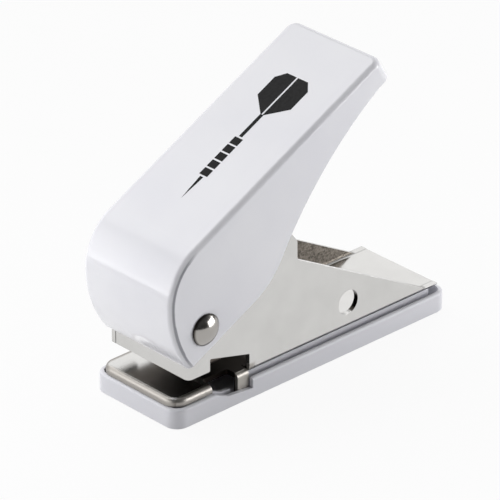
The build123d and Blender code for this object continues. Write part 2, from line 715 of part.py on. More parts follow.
os.makedirs("parts", exist_ok=True)
for make in PARTS:
    piece = make()
    piece.label = make.__name__
    export_step(piece, f"parts/{make.__name__}.step")
print("stroke", round(STROKE, 3), "per radian", round(STROKE / PRESS, 4))
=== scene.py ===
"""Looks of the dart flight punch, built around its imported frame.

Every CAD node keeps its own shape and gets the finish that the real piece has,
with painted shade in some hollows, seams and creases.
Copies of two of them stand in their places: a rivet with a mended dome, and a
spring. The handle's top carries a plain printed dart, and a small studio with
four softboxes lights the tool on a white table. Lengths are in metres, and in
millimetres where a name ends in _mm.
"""

import logging
import math
from dataclasses import dataclass
from enum import Enum
from typing import ClassVar

import bmesh
import bpy
from mathutils import Matrix, Vector


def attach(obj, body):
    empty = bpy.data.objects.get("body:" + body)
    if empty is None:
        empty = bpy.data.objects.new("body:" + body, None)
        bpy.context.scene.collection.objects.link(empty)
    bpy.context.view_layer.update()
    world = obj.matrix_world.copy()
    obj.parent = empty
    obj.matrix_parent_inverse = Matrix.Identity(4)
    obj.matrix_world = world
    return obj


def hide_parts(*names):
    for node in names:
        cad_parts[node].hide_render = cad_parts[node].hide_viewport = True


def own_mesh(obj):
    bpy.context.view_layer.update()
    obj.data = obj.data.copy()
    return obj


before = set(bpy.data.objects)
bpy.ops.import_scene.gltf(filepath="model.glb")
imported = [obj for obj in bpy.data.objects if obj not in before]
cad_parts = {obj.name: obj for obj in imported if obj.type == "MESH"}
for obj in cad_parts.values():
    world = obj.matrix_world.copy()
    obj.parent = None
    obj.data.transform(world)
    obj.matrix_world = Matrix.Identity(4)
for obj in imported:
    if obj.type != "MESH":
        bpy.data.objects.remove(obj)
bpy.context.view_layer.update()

LOG = logging.getLogger("dart_flight_punch")
MM = 0.001

Point = tuple[float, float]
Size = tuple[float, float, float]
Colour = tuple[float, float, float, float]

# The sRGB curve's knee, slope, offset and power
SRGB_KNEE = 0.04045
SRGB_SLOPE = 12.92
SRGB_OFFSET = 0.055
SRGB_POWER = 2.4

# Where most of a noise texture's values lie
NOISE_MIDDLE: Point = (0.3, 0.7)

# What a mask gives before and after its step
RISING: Point = (0, 1)
FALLING: Point = (1, 0)


# Shared helpers


def linear(hex_colour: str) -> Colour:
    """Turn an sRGB hex colour into Blender's linear colour.

    Args:
        hex_colour: Six hex digits after a hash sign.

    Returns:
        Linear red, green and blue, and an alpha of one.
    """
    levels = [int(hex_colour[place : place + 2], 16) / 255 for place in (1, 3, 5)]
    red, green, blue = (
        level / SRGB_SLOPE
        if level <= SRGB_KNEE
        else ((level + SRGB_OFFSET) / (1 + SRGB_OFFSET)) ** SRGB_POWER
        for level in levels
    )
    return (red, green, blue, 1.0)


def add_node(
    tree: bpy.types.NodeTree,
    kind: str,
    settings: dict[str, object] | None = None,
    inputs: dict[str | int, object] | None = None,
) -> bpy.types.Node:
    """Add one shader node with its settings, values and links.

    Args:
        tree: The node tree that gets the node.
        kind: Blender's name for the node type.
        settings: Attributes of the node.
        inputs: For each input, by name or place, a value or the output that feeds it.

    Returns:
        The new node.
    """
    node = tree.nodes.new(kind)
    for name, value in (settings or {}).items():
        setattr(node, name, value)
    for key, value in (inputs or {}).items():
        if isinstance(value, bpy.types.NodeSocket):
            tree.links.new(value, node.inputs[key])
        else:
            node.inputs[key].default_value = value
    return node


def grain(
    tree: bpy.types.NodeTree, size_mm: Size, detail: float, rough: float = 0.5
) -> bpy.types.NodeSocket:
    """Add noise whose grains have a real size along X, Y and Z.

    Args:
        tree: The material's node tree.
        size_mm: Size of one grain along each axis, in millimetres.
        detail: How many finer layers the noise has.
        rough: How strong the finer layers are.

    Returns:
        The noise value, from 0 to 1.
    """
    place = add_node(tree, "ShaderNodeTexCoord")
    scale = [1 / (size * MM) for size in size_mm]
    mapped = add_node(
        tree, "ShaderNodeMapping", inputs={"Vector": place.outputs["Object"], "Scale": scale}
    )
    noise = add_node(
        tree,
        "ShaderNodeTexNoise",
        inputs={
            "Vector": mapped.outputs["Vector"],
            "Scale": 1.0,
            "Detail": detail,
            "Roughness": rough,
        },
    )
    return noise.outputs["Fac"]


def spread(
    tree: bpy.types.NodeTree, value: bpy.types.NodeSocket, low: float, high: float
) -> bpy.types.NodeSocket:
    """Stretch the middle of a noise value over a range.

    Args:
        tree: The material's node tree.
        value: Noise from 0 to 1, most of it near the middle.
        low: Result where the noise is low.
        high: Result where the noise is high.

    Returns:
        The stretched value.
    """
    node = add_node(
        tree,
        "ShaderNodeMapRange",
        inputs={
            "Value": value,
            "From Min": NOISE_MIDDLE[0],
            "From Max": NOISE_MIDDLE[1],
            "To Min": low,
            "To Max": high,
        },
    )
    return node.outputs["Result"]


def ramp(
    tree: bpy.types.NodeTree, value: bpy.types.NodeSocket, span: Point, result: Point
) -> bpy.types.NodeSocket:
    """Turn a value into a soft step.

    Args:
        tree: The node tree of the material, lamp or world.
        value: The value that is stepped.
        span: Where the step starts and ends.
        result: What comes out before and after the step.

    Returns:
        The stepped value.
    """
    node = add_node(
        tree,
        "ShaderNodeMapRange",
        {"interpolation_type": "SMOOTHSTEP"},
        {
            "Value": value,
            "From Min": span[0],
            "From Max": span[1],
            "To Min": result[0],
            "To Max": result[1],
        },
    )
    return node.outputs["Result"]


def along_axis(
    tree: bpy.types.NodeTree, source: str, axis: str, unsigned: bool = False
) -> bpy.types.NodeSocket:
    """Read one axis of a piece's own coordinates or normals.

    Args:
        tree: The material's node tree.
        source: "Object" for the place, "Normal" for the direction of the surface.
        axis: X, Y or Z.
        unsigned: Whether the sign is dropped, so that both sides count alike.

    Returns:
        A place in metres, or a share of the direction.
    """
    place = add_node(tree, "ShaderNodeTexCoord")
    parts = add_node(tree, "ShaderNodeSeparateXYZ", inputs={"Vector": place.outputs[source]})
    if not unsigned:
        return parts.outputs[axis]
    size = add_node(tree, "ShaderNodeMath", {"operation": "ABSOLUTE"}, {0: parts.outputs[axis]})
    return size.outputs["Value"]


def from_axis(tree: bpy.types.NodeTree, axis_mm: Point) -> bpy.types.NodeSocket:
    """Measure how far the surface lies from an axis that runs across the tool.

    Args:
        tree: The material's node tree.
        axis_mm: Where the axis stands along Y and Z.

    Returns:
        The distance in metres.
    """
    place = add_node(tree, "ShaderNodeTexCoord")
    centre = (0, axis_mm[0] * MM, axis_mm[1] * MM)
    away = add_node(
        tree,
        "ShaderNodeVectorMath",
        {"operation": "SUBTRACT"},
        {0: place.outputs["Object"], 1: centre},
    )
    flat = add_node(
        tree,
        "ShaderNodeVectorMath",
        {"operation": "MULTIPLY"},
        {0: away.outputs["Vector"], 1: (0, 1, 1)},
    )
    size = add_node(
        tree, "ShaderNodeVectorMath", {"operation": "LENGTH"}, {0: flat.outputs["Vector"]}
    )
    return size.outputs["Value"]


def greater(
    tree: bpy.types.NodeTree, first: bpy.types.NodeSocket, second: bpy.types.NodeSocket
) -> bpy.types.NodeSocket:
    """Join two masks, so that either one counts."""
    node = add_node(tree, "ShaderNodeMath", {"operation": "MAXIMUM"}, {0: first, 1: second})
    return node.outputs["Value"]


def product(
    tree: bpy.types.NodeTree, first: bpy.types.NodeSocket, second: bpy.types.NodeSocket | float
) -> bpy.types.NodeSocket:
    """Multiply two masks, or a mask and a share."""
    node = add_node(tree, "ShaderNodeMath", {"operation": "MULTIPLY"}, {0: first, 1: second})
    return node.outputs["Value"]


def blended(
    tree: bpy.types.NodeTree,
    mask: bpy.types.NodeSocket,
    low: Colour | bpy.types.NodeSocket,
    high: Colour | bpy.types.NodeSocket,
) -> bpy.types.NodeSocket:
    """Mix two colours by a mask.

    Args:
        tree: The material's node tree.
        mask: 0 for the first colour, 1 for the second.
        low: The first colour.
        high: The second colour.

    Returns:
        The mixed colour.
    """
    node = add_node(
        tree, "ShaderNodeMix", {"data_type": "RGBA"}, {"Factor": mask, 6: low, 7: high}
    )
    return node.outputs[2]


def in_metres(places_mm: tuple[float, ...]) -> tuple[float, ...]:
    """Turn places in millimetres into metres."""
    return tuple(place * MM for place in places_mm)


def put(name: str, data: bpy.types.ID) -> bpy.types.Object:
    """Put a new object into the scene.

    Args:
        name: The object's name.
        data: Its mesh, lamp or camera.

    Returns:
        The object.
    """
    thing = bpy.data.objects.new(name, data)
    bpy.context.scene.collection.objects.link(thing)
    return thing


# Finishes


class Finish:
    """A surface finish, which builds the material that has it."""

    name: str
    bevel_samples: ClassVar[int] = 6

    def material(self) -> bpy.types.Material:
        """Build the material."""
        raise NotImplementedError

    def tree(self) -> tuple[bpy.types.Material, bpy.types.NodeTree, bpy.types.Node]:
        """Start a material with an empty principled shader.

        Returns:
            The material, its node tree and the shader.
        """
        material = bpy.data.materials.new(self.name)
        material.use_nodes = True
        tree = material.node_tree
        return material, tree, tree.nodes["Principled BSDF"]

    def bumped(
        self,
        tree: bpy.types.NodeTree,
        shader: bpy.types.Node,
        height: bpy.types.NodeSocket,
        depth_mm: float,
        edge_mm: float,
    ) -> None:
        """Give a shader its surface relief over slightly rounded edges.

        Args:
            tree: The material's node tree.
            shader: The principled shader.
            height: Relief from 0 to 1.
            depth_mm: How deep the relief is.
            edge_mm: Radius that sharp edges get.
        """
        edge = add_node(
            tree, "ShaderNodeBevel", {"samples": self.bevel_samples}, {"Radius": edge_mm * MM}
        )
        bump = add_node(
            tree,
            "ShaderNodeBump",
            inputs={
                "Strength": 1.0,
                "Distance": depth_mm * MM,
                "Height": height,
                "Normal": edge.outputs["Normal"],
            },
        )
        tree.links.new(bump.outputs["Normal"], shader.inputs["Normal"])


@dataclass(frozen=True)
class StoveEnamel(Finish):
    """White stove enamel on pressed steel.

    Sprayed and baked, it is hard and glossy with sharp reflections, and its
    orange peel only shows as a slight unrest in them.
    """

    name: str = "white_stove_enamel_sprayed"
    colour: str = "#EBEBEF"
    shade: str = "#E4E4EA"
    ior: float = 1.5
    roughness: float = 0.13
    cloud_mm: float = 30.0
    peel_mm: float = 2.2
    peel_depth_mm: float = 0.0012
    edge_mm: float = 0.15
    # Colour and spans of a painted shade line along the nose's pressed edge
    crease_shade_colour: str = "#98989F"
    crease_shade_starts: Point = (0.78, 0.92)
    crease_shade_ends: Point = (0.985, 0.999)
    nose_mm: Point = (-50.0, -44.0)

    def material(self) -> bpy.types.Material:
        """Build the enamel.

        Returns:
            The material, with a painted shade line along the nose's pressed edge.
        """
        material, tree, shader = self.tree()
        cloud = grain(tree, (self.cloud_mm,) * 3, detail=2)
        tone = blended(tree, spread(tree, cloud, 0, 1), linear(self.colour), linear(self.shade))
        # A line of painted shade along the nose's pressed edge
        crease_shaded = blended(tree, self.crease_shade(tree), tone, linear(self.crease_shade_colour))
        tree.links.new(crease_shaded, shader.inputs["Base Color"])
        shader.inputs["Roughness"].default_value = self.roughness
        shader.inputs["IOR"].default_value = self.ior
        peel = grain(tree, (self.peel_mm,) * 3, detail=1)
        self.bumped(tree, shader, peel, self.peel_depth_mm, self.edge_mm)
        return material

    def crease_shade(self, tree: bpy.types.NodeTree) -> bpy.types.NodeSocket:
        """Mark a line of painted shade along the nose's pressed edge.

        Args:
            tree: The material's node tree.

        Returns:
            The mask.
        """
        sideways = along_axis(tree, "Normal", "X", unsigned=True)
        started = ramp(tree, sideways, self.crease_shade_starts, RISING)
        line = product(tree, started, ramp(tree, sideways, self.crease_shade_ends, FALLING))
        depth = along_axis(tree, "Object", "Y")
        return product(tree, line, ramp(tree, depth, in_metres(self.nose_mm), FALLING))


@dataclass(frozen=True)
class MouldedPlastic(Finish):
    """White polystyrene, injection moulded in a fine spark-eroded tool.

    The tool's texture breaks the gloss into a soft sheen, and the plastic is a
    little greyer and more lilac than the enamel.
    """

    name: str = "white_polystyrene_moulded"
    colour: str = "#DADAE0"
    ior: float = 1.59
    roughness: float = 0.38
    roughness_swing: float = 0.04
    cloud_mm: float = 14.0
    texture_mm: float = 0.25
    texture_depth_mm: float = 0.004
    edge_mm: float = 0.15

    def material(self) -> bpy.types.Material:
        """Build the plastic.

        Returns:
            The material.
        """
        material, tree, shader = self.tree()
        shader.inputs["Base Color"].default_value = linear(self.colour)
        shader.inputs["IOR"].default_value = self.ior
        cloud = grain(tree, (self.cloud_mm,) * 3, detail=2)
        low = self.roughness - self.roughness_swing
        sheen = spread(tree, cloud, low, self.roughness + self.roughness_swing)
        tree.links.new(sheen, shader.inputs["Roughness"])
        texture = grain(tree, (self.texture_mm,) * 3, detail=2)
        self.bumped(tree, shader, texture, self.texture_depth_mm, self.edge_mm)
        return material


@dataclass(frozen=True)
class Metal(Finish):
    """A bare or plated metal with a directed grain in its gloss."""

    name: str
    colour: str
    shade: str
    roughness: float
    roughness_swing: float
    grain_mm: Size
    grain_depth_mm: float
    edge_mm: float = 0.12
    cloud_mm: float = 9.0

    def material(self) -> bpy.types.Material:
        """Build the metal.

        Returns:
            The material.
        """
        material, tree, shader = self.tree()
        shader.inputs["Metallic"].default_value = 1.0
        fine = grain(tree, self.grain_mm, detail=3, rough=0.6)
        low = self.roughness - self.roughness_swing
        gloss = spread(tree, fine, low, self.roughness + self.roughness_swing)
        tree.links.new(self.stained_and_shaded(tree, self.tone(tree)), shader.inputs["Base Color"])
        tree.links.new(self.dulled(tree, gloss), shader.inputs["Roughness"])
        self.bumped(tree, shader, fine, self.grain_depth_mm, self.edge_mm)
        return material

    def tone(self, tree: bpy.types.NodeTree) -> bpy.types.NodeSocket:
        """Mix the metal's two tones in soft clouds."""
        cloud = spread(tree, grain(tree, (self.cloud_mm,) * 3, detail=3), 0, 1)
        return blended(tree, cloud, linear(self.colour), linear(self.shade))

    def stained_and_shaded(
        self, tree: bpy.types.NodeTree, colour: bpy.types.NodeSocket
    ) -> bpy.types.NodeSocket:
        """Leave the colour as it is, because plain metal has no stains or painted shade."""
        return colour

    def dulled(
        self, tree: bpy.types.NodeTree, gloss: bpy.types.NodeSocket
    ) -> bpy.types.NodeSocket:
        """Leave the roughness as it is, because plain metal has no dull places."""
        return gloss


@dataclass(frozen=True)
class ChannelPlate(Metal):
    """Bright nickel, dull and with painted shade inside the folded channel.

    The inner faces of the channel are painted grey brown and grainy as shade, and
    the inside of the jaw is painted nearly black as shade. The rolled rim is rubbed
    dull, and the side of the holes' walls that faces the front is painted dark as shade.
    """

    wall_shade_colour: str = "#8A837B"
    wall_shade_dark: str = "#433F3A"
    inner_roughness: float = 0.5
    inner_grit_mm: float = 0.6
    jaw_shade_colour: str = "#1C1815"
    channel_half_mm: Point = (14.3, 14.5)
    wall_turn: Point = (0.5, 0.85)
    jaw_front_mm: Point = (-41.0, -36.0)
    jaw_back_mm: Point = (-22.0, -6.0)
    jaw_top_mm: Point = (13.0, 18.0)
    rim_colour: str = "#A39F9A"
    rim_roughness: float = 0.42
    rim_front_mm: Point = (-50.9, -49.9)
    rim_side_mm: Point = (13.4, 14.2)
    rim_end_mm: Point = (-23.0, -21.0)
    rim_top_mm: Point = (9.5, 10.5)
    hole_shade_colour: str = "#262320"
    hole_axis_mm: Point = (13.8, 15.5)
    hole_reach_mm: Point = (3.85, 3.95)
    hole_wall_turn: Point = (0.3, 0.6)
    hole_shade_turn: Point = (-0.5, -0.1)

    def inside(self, tree: bpy.types.NodeTree) -> bpy.types.NodeSocket:
        """Mark what lies between the two cheeks."""
        across = along_axis(tree, "Object", "X", unsigned=True)
        return ramp(tree, across, in_metres(self.channel_half_mm), FALLING)

    def walls(self, tree: bpy.types.NodeTree) -> bpy.types.NodeSocket:
        """Mark the inner faces that look sideways, where shade is painted."""
        turned = along_axis(tree, "Normal", "X", unsigned=True)
        return product(tree, ramp(tree, turned, self.wall_turn, RISING), self.inside(tree))

    def jaw(self, tree: bpy.types.NodeTree) -> bpy.types.NodeSocket:
        """Mark what lies inside the jaw, which is painted nearly black as shade.

        Args:
            tree: The material's node tree.

        Returns:
            The mask.
        """
        depth = along_axis(tree, "Object", "Y")
        entered = ramp(tree, depth, in_metres(self.jaw_front_mm), RISING)
        along = product(tree, entered, ramp(tree, depth, in_metres(self.jaw_back_mm), FALLING))
        height = along_axis(tree, "Object", "Z")
        low = ramp(tree, height, in_metres(self.jaw_top_mm), FALLING)
        return product(tree, product(tree, along, low), self.inside(tree))

    def rolled_rim(self, tree: bpy.types.NodeTree) -> bpy.types.NodeSocket:
        """Mark the rolled rim of the die plate, where bending cracked the plating.

        Args:
            tree: The material's node tree.

        Returns:
            The mask.
        """
        depth = along_axis(tree, "Object", "Y")
        front = ramp(tree, depth, in_metres(self.rim_front_mm), FALLING)
        ahead = ramp(tree, depth, in_metres(self.rim_end_mm), FALLING)
        across = along_axis(tree, "Object", "X", unsigned=True)
        side = ramp(tree, across, in_metres(self.rim_side_mm), RISING)
        low = ramp(tree, along_axis(tree, "Object", "Z"), in_metres(self.rim_top_mm), FALLING)
        return product(tree, greater(tree, front, product(tree, side, ahead)), low)

    def shaded_hole_wall(self, tree: bpy.types.NodeTree) -> bpy.types.NodeSocket:
        """Mark the side of the cheeks' holes' walls that faces the front, painted dark as shade.

        Args:
            tree: The material's node tree.

        Returns:
            The mask.
        """
        away = from_axis(tree, self.hole_axis_mm)
        near = ramp(tree, away, in_metres(self.hole_reach_mm), FALLING)
        turned = along_axis(tree, "Normal", "X", unsigned=True)
        wall = ramp(tree, turned, self.hole_wall_turn, FALLING)
        front_side = ramp(tree, along_axis(tree, "Normal", "Y"), self.hole_shade_turn, FALLING)
        return product(tree, product(tree, near, wall), front_side)

    def stained_and_shaded(
        self, tree: bpy.types.NodeTree, colour: bpy.types.NodeSocket
    ) -> bpy.types.NodeSocket:
        """Paint shade: grey brown on the inner faces, nearly black inside the jaw, and dark on
        the holes' front walls.

        Args:
            tree: The material's node tree.
            colour: The bright plate's colour.

        Returns:
            The colour of the whole sheet.
        """
        # Painted shade: the inner side faces get a grainy grey brown
        grit = spread(tree, grain(tree, (self.inner_grit_mm,) * 3, detail=2, rough=0.7), 0, 1)
        bare = blended(tree, grit, linear(self.wall_shade_colour), linear(self.wall_shade_dark))
        rolled = blended(tree, self.rolled_rim(tree), colour, linear(self.rim_colour))
        # The painted shade goes onto the inner side faces here
        thin = blended(tree, self.walls(tree), rolled, bare)
        # Painted shade: the inside of the jaw is painted nearly black
        jaw_shaded = blended(tree, self.jaw(tree), thin, linear(self.jaw_shade_colour))
        # Painted shade on the side of the holes' walls that faces the front
        return blended(tree, self.shaded_hole_wall(tree), jaw_shaded, linear(self.hole_shade_colour))

    def dulled(
        self, tree: bpy.types.NodeTree, gloss: bpy.types.NodeSocket
    ) -> bpy.types.NodeSocket:
        """Make the rolled rim and the inner faces rougher than the bright outside.

        Args:
            tree: The material's node tree.
            gloss: The bright plate's roughness.

        Returns:
            The roughness of the whole sheet.
        """
        rubbed = {"Factor": self.rolled_rim(tree), 2: gloss, 3: self.rim_roughness}
        rolled = add_node(tree, "ShaderNodeMix", inputs=rubbed)
        marks = greater(tree, self.walls(tree), self.jaw(tree))
        grimed = {"Factor": marks, 2: rolled.outputs[0], 3: self.inner_roughness}
        return add_node(tree, "ShaderNodeMix", inputs=grimed).outputs[0]


@dataclass(frozen=True)
class RivetHead(Metal):
    """Nickel plated rivet with painted shade in the seam round its head.

    The dome is pressed by a polished tool and shines, while its rim is painted
    darker as shade where it meets the enamel.
    """

    rim_shade_colour: str = "#3A3633"
    axis_mm: Point = (-42.3, 28.6)
    rim_mm: Point = (4.1, 4.7)

    def stained_and_shaded(
        self, tree: bpy.types.NodeTree, colour: bpy.types.NodeSocket
    ) -> bpy.types.NodeSocket:
        """Paint shade on the head towards its rim."""
        rim = ramp(tree, from_axis(tree, self.axis_mm), in_metres(self.rim_mm), RISING)
        return blended(tree, rim, colour, linear(self.rim_shade_colour))


@dataclass(frozen=True)
class PrintInk(Finish):
    """Black pad-printing ink, a thin satin film with a faintly uneven gloss."""

    name: str = "black_ink_pad_printed"
    colour: str = "#0B0A0C"
    specular: float = 0.15
    roughness: float = 0.55
    roughness_swing: float = 0.08
    screen_mm: float = 0.8

    def material(self) -> bpy.types.Material:
        """Build the ink.

        Returns:
            The material.
        """
        material, tree, shader = self.tree()
        shader.inputs["Base Color"].default_value = linear(self.colour)
        shader.inputs["Specular IOR Level"].default_value = self.specular
        low = self.roughness - self.roughness_swing
        screen = grain(tree, (self.screen_mm,) * 3, detail=3)
        film = spread(tree, screen, low, self.roughness + self.roughness_swing)
        tree.links.new(film, shader.inputs["Roughness"])
        return material


# Bright nickel over the rolled sheet's own grain, which runs along the tool and
# shows as faint streaks in soft reflections.
NICKEL_PLATE = ChannelPlate(
    name="nickel_plate_on_rolled_steel",
    colour="#CFCECC",
    shade="#C9C8C6",
    roughness=0.19,
    roughness_swing=0.025,
    grain_mm=(0.25, 6, 0.25),
    grain_depth_mm=0.001,
)

# Oiled hot rolled steel without plating, dark brown grey with a dull sheen.
OILED_STEEL = Metal(
    name="oiled_steel_pressed",
    colour="#6E665F",
    shade="#57504A",
    roughness=0.38,
    roughness_swing=0.06,
    grain_mm=(0.5, 0.5, 0.5),
    grain_depth_mm=0.004,
)

# The dome's polish is a little clouded, so what it mirrors has soft edges.
POLISHED_RIVET = RivetHead(
    name="polished_nickel_rivet",
    colour="#ABA8A4",
    shade="#A19E9A",
    roughness=0.17,
    roughness_swing=0.03,
    grain_mm=(1.2, 1.2, 1.2),
    grain_depth_mm=0.001,
    edge_mm=0.1,
)

# Zinc plate, bluish and a little milky.
ZINC_WASHER = Metal(
    name="zinc_plate_on_stamped_steel",
    colour="#BFC2C6",
    shade="#AEB1B6",
    roughness=0.32,
    roughness_swing=0.05,
    grain_mm=(0.4, 0.4, 0.4),
    grain_depth_mm=0.002,
)

# Free cutting steel with the fine rings that a lathe tool leaves.
TURNED_STEEL = Metal(
    name="turned_steel",
    colour="#B4B1AD",
    shade="#A5A29E",
    roughness=0.28,
    roughness_swing=0.06,
    grain_mm=(3, 3, 0.09),
    grain_depth_mm=0.003,
)

# Hardened tool steel, ground and slightly straw coloured.
TOOL_STEEL = Metal(
    name="ground_tool_steel",
    colour="#A9A49B",
    shade="#98938A",
    roughness=0.22,
    roughness_swing=0.05,
    grain_mm=(2, 2, 0.06),
    grain_depth_mm=0.002,
)

# Cold drawn spring steel with a slightly uneven satin sheen.
SPRING_STEEL = Metal(
    name="drawn_spring_steel",
    colour="#9EA0A3",
    shade="#8C8E92",
    roughness=0.3,
    roughness_swing=0.05,
    grain_mm=(0.3, 0.3, 0.3),
    grain_depth_mm=0.002,
)


# Sub-assemblies


class Body(Enum):
    """Bodies that the scene's own pieces ride on."""

    FRAME = "frame"
    HANDLE = "handle"


class SubAssembly:
    """Pieces that belong together and the finishes that they get."""

    def finishes(self) -> dict[str, Finish]:
        """Say which finish each CAD node gets."""
        raise NotImplementedError

    def dress(self) -> None:
        """Give each CAD node its material."""
        for node, finish in self.finishes().items():
            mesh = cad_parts[node].data
            mesh.materials.clear()
            mesh.materials.append(finish.material())
            LOG.info("%s: %s", node, finish.name)

    def stand_in(self, name: str, node: str, slot: str) -> bpy.types.Object:
        """Put a copy of a CAD node of the frame in its place, which can be changed.

        Args:
            name: The copy's name.
            node: The CAD node that it stands for.
            slot: The record's material slot that the node has. Not used.

        Returns:
            The copy, with the node's material, riding on the frame.
        """
        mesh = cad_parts[node].data.copy()
        mesh.name = name
        copy = put(name, mesh)
        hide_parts(node)
        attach(copy, Body.FRAME.value)
        return copy


@dataclass
class ChipTray(SubAssembly):
    """The moulded tray that the tool stands on."""

    def finishes(self) -> dict[str, Finish]:
        """Say which finish the tray gets."""
        return {"base_tray": MouldedPlastic()}


@dataclass
class FoldedFrame(SubAssembly):
    """The plated frame with its bracket, rivet and washers."""

    least_agreement: float = 0.9

    def finishes(self) -> dict[str, Finish]:
        """Say which finish each piece of the frame gets."""
        return {
            "frame": NICKEL_PLATE,
            "guide_bracket": OILED_STEEL,
            "pivot_rivet": POLISHED_RIVET,
            "pivot_washer_right": ZINC_WASHER,
            "pivot_washer_left": ZINC_WASHER,
        }

    def true_dome(self) -> None:
        """Stand a rivet whose dome has no dark dot in the place of the CAD one.

        The CAD mesh gives the dome's centre a slanted normal. Where a corner's normal
        agrees too little with its face's own, the copy takes the face's.
        """
        mesh = self.stand_in("domed_rivet", "pivot_rivet", "polished_rivet").data
        facings = [corner.vector.copy() for corner in mesh.corner_normals]
        for face in mesh.polygons:
            for corner in face.loop_indices:
                if facings[corner].dot(face.normal) < self.least_agreement:
                    facings[corner] = face.normal.copy()
        mesh.normals_split_custom_set(facings)
        LOG.info("domed_rivet: %d corners", len(facings))

    def build(self) -> None:
        """Dress the frame's pieces and mend the rivet's dome."""
        self.dress()
        self.true_dome()


@dataclass
class PunchAndDie(SubAssembly):
    """Punch, bush, die, collar and spring."""

    def finishes(self) -> dict[str, Finish]:
        """Say which finish each piece round the punch gets."""
        return {
            "punch_pin": TOOL_STEEL,
            "die_button": TOOL_STEEL,
            "guide_bush": TURNED_STEEL,
            "spring_collar": TURNED_STEEL,
            "return_spring": SPRING_STEEL,
        }

    def coil_spring(self) -> None:
        """Stand a copy of the spring, with a mesh of its own, in the place of the CAD one.
        """
        spring = self.stand_in("coiled_spring", "return_spring", "spring_wire")
        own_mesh(spring)

    def build(self) -> None:
        """Dress the pieces round the punch and stand a copy of the spring in its place."""
        self.dress()
        self.coil_spring()


@dataclass
class PressedHandle(SubAssembly):
    """The enamelled handle with its lever and the printed dart on its top.

    The dart is drawn along the handle from its point, in millimetres, with the
    half width at each place. Its flights are widest between two shares of their
    length, and keep a share of that width at their end.
    """

    rise_degrees: float = 26.7
    dart_start_mm: float = 12.0
    point_mm: float = 9.0
    barrel_mm: float = 15.5
    groove_count: int = 4
    groove_mm: float = 0.55
    shaft_mm: float = 9.0
    flight_mm: float = 15.0
    barrel_half_mm: float = 1.55
    shaft_half_mm: float = 0.62
    flight_half_mm: float = 6.6
    flight_widest: Point = (0.34, 0.82)
    flight_end_share: float = 0.62
    rib_half_mm: float = 0.28
    film_mm: float = 0.03

    def finishes(self) -> dict[str, Finish]:
        """Say which finish handle and lever get."""
        return {"handle": StoveEnamel(), "drive_lever": OILED_STEEL}

    def top_plane(self) -> Matrix:
        """Find the handle's flat top and where it starts.

        Returns:
            A matrix whose X runs up along the handle, Y across it and Z out of it.
        """
        rise = math.radians(self.rise_degrees)
        run = Vector((0, math.cos(rise), math.sin(rise)))
        out = Vector((0, -math.sin(rise), math.cos(rise)))
        places = [vertex.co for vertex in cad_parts["handle"].data.vertices]
        height = max(place.dot(out) for place in places)
        flat = [place for place in places if place.dot(out) > height - self.film_mm * MM]
        origin = run * min(place.dot(run) for place in flat) + out * height
        across = out.cross(run)
        return Matrix.Translation(origin) @ Matrix((run, across, out)).transposed().to_4x4()

    def barrel_rings(self, start: float) -> list[list[Point]]:
        """Draw the barrel as rings with bare grooves between them.

        Args:
            start: Where the barrel starts along the handle.

        Returns:
            One closed outline for each ring.
        """
        step = self.barrel_mm / (self.groove_count + 1)
        half = self.barrel_half_mm
        rings = []
        for index in range(self.groove_count + 1):
            low = start + index * step
            high = low + step - self.groove_mm
            rings.append([(low, -half), (high, -half), (high, half), (low, half)])
        return rings

    def flights(self, start: float) -> list[list[Point]]:
        """Draw the two flights either side of a bare rib.

        Args:
            start: Where the flights start along the handle.

        Returns:
            One closed outline for each flight.
        """
        rib = self.rib_half_mm
        wide = self.flight_half_mm
        end = start + self.flight_mm
        shape = [
            (start, rib + self.shaft_half_mm / 2),
            *((start + self.flight_mm * share, wide) for share in self.flight_widest),
            (end, wide * self.flight_end_share),
            (end, rib),
            (start, rib),
        ]
        return [shape, [(along, -across) for along, across in reversed(shape)]]

    def dart_outlines(self) -> list[list[Point]]:
        """Draw the whole dart as closed outlines along and across the handle.

        Returns:
            The outlines, each anticlockwise, in millimetres.
        """
        barrel = self.dart_start_mm + self.point_mm
        shaft = barrel + self.barrel_mm
        flight = shaft + self.shaft_mm
        half = self.shaft_half_mm
        behind = barrel - self.groove_mm
        point = [(self.dart_start_mm, 0), (behind, -half), (behind, half)]
        stem = [(shaft, -half), (flight, -half), (flight, half), (shaft, half)]
        return [point, *self.barrel_rings(barrel), stem, *self.flights(flight)]

    def print_dart(self) -> None:
        """Lay the dart on the handle's top as a thin film of ink."""
        work = bmesh.new()
        for outline in self.dart_outlines():
            work.faces.new([work.verts.new((*in_metres(corner), 0)) for corner in outline])
        film = bmesh.ops.extrude_face_region(work, geom=list(work.faces))["geom"]
        raised = [part for part in film if isinstance(part, bmesh.types.BMVert)]
        bmesh.ops.translate(work, verts=raised, vec=(0, 0, self.film_mm * MM))
        bmesh.ops.recalc_face_normals(work, faces=list(work.faces))
        mesh = bpy.data.meshes.new("printed_dart")
        work.to_mesh(mesh)
        work.free()
        mesh.materials.append(PrintInk().material())
        dart = put("printed_dart", mesh)
        dart.matrix_world = self.top_plane()
        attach(dart, Body.HANDLE.value)
        LOG.info("printed_dart: %d outlines", len(self.dart_outlines()))

    def build(self) -> None:
        """Dress the handle and print its mark."""
        self.dress()
        self.print_dart()


# Studio


